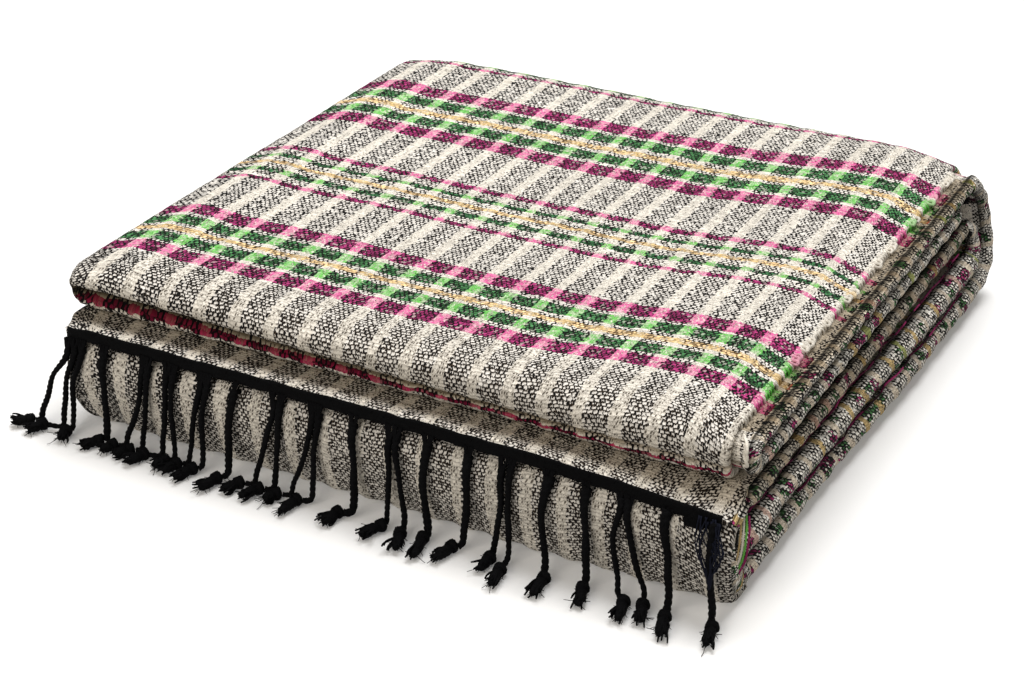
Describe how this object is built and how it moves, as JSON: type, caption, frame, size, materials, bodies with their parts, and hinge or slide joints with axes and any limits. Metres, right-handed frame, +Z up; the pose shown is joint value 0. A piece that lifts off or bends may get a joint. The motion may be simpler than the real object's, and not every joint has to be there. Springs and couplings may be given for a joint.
{
  "type": "folded throw blanket",
  "caption": "Thick woven plaid throw, folded flat into a square stack with a knotted black fringe hanging over its front edge.",
  "frame": {"origin": "centre of the footprint of the folded cloth, on the surface that it lies on", "axes": "+Z up through the stack, -Y towards the fringed front, +X along the fringe to the right"},
  "size_m": [0.455, 0.4707, 0.1006],
  "materials": {
    "plaid_cloth": "coarse slub weave in cream and black, striped in magenta, green and gold",
    "end_tape": "dense black ribbed weave",
    "tassel_yarn": "black twisted cotton yarn"
  },
  "bodies": {
    "lower_stack": {"fringe_panel": "plaid_cloth", "middle_panel": "plaid_cloth", "base_panel": "plaid_cloth", "lower_front_fold": "plaid_cloth", "inner_back_fold": "plaid_cloth", "outer_back_fold_lower": "plaid_cloth", "front_end_tape": "end_tape", "under_end_tape": "end_tape", "tassel_01": "tassel_yarn", "tassel_02": "tassel_yarn", "tassel_03": "tassel_yarn", "tassel_04": "tassel_yarn", "tassel_05": "tassel_yarn", "tassel_06": "tassel_yarn", "tassel_07": "tassel_yarn", "tassel_08": "tassel_yarn", "tassel_09": "tassel_yarn", "tassel_10": "tassel_yarn", "tassel_11": "tassel_yarn", "tassel_12": "tassel_yarn", "tassel_13": "tassel_yarn", "tassel_14": "tassel_yarn", "tassel_15": "tassel_yarn", "tassel_16": "tassel_yarn", "tassel_17": "tassel_yarn", "tassel_18": "tassel_yarn", "tassel_19": "tassel_yarn", "tassel_20": "tassel_yarn", "tassel_21": "tassel_yarn", "tassel_22": "tassel_yarn", "tassel_23": "tassel_yarn", "tassel_24": "tassel_yarn", "tassel_25": "tassel_yarn", "tassel_26": "tassel_yarn", "tassel_27": "tassel_yarn", "tassel_28": "tassel_yarn"},
    "upper_leaf": {"top_panel": "plaid_cloth", "upper_front_fold": "plaid_cloth", "outer_back_fold_upper": "plaid_cloth", "tucked_panel": "plaid_cloth", "inner_end_tape": "end_tape", "inner_tassels": "tassel_yarn"}
  },
  "joints": [
    {"name": "open_back_fold", "type": "hinge", "parent": "lower_stack", "child": "upper_leaf", "pos_m": [0, 0.2205, 0.067], "axis": [-1, 0, 0], "range_deg": [0, 175]}
  ]
}
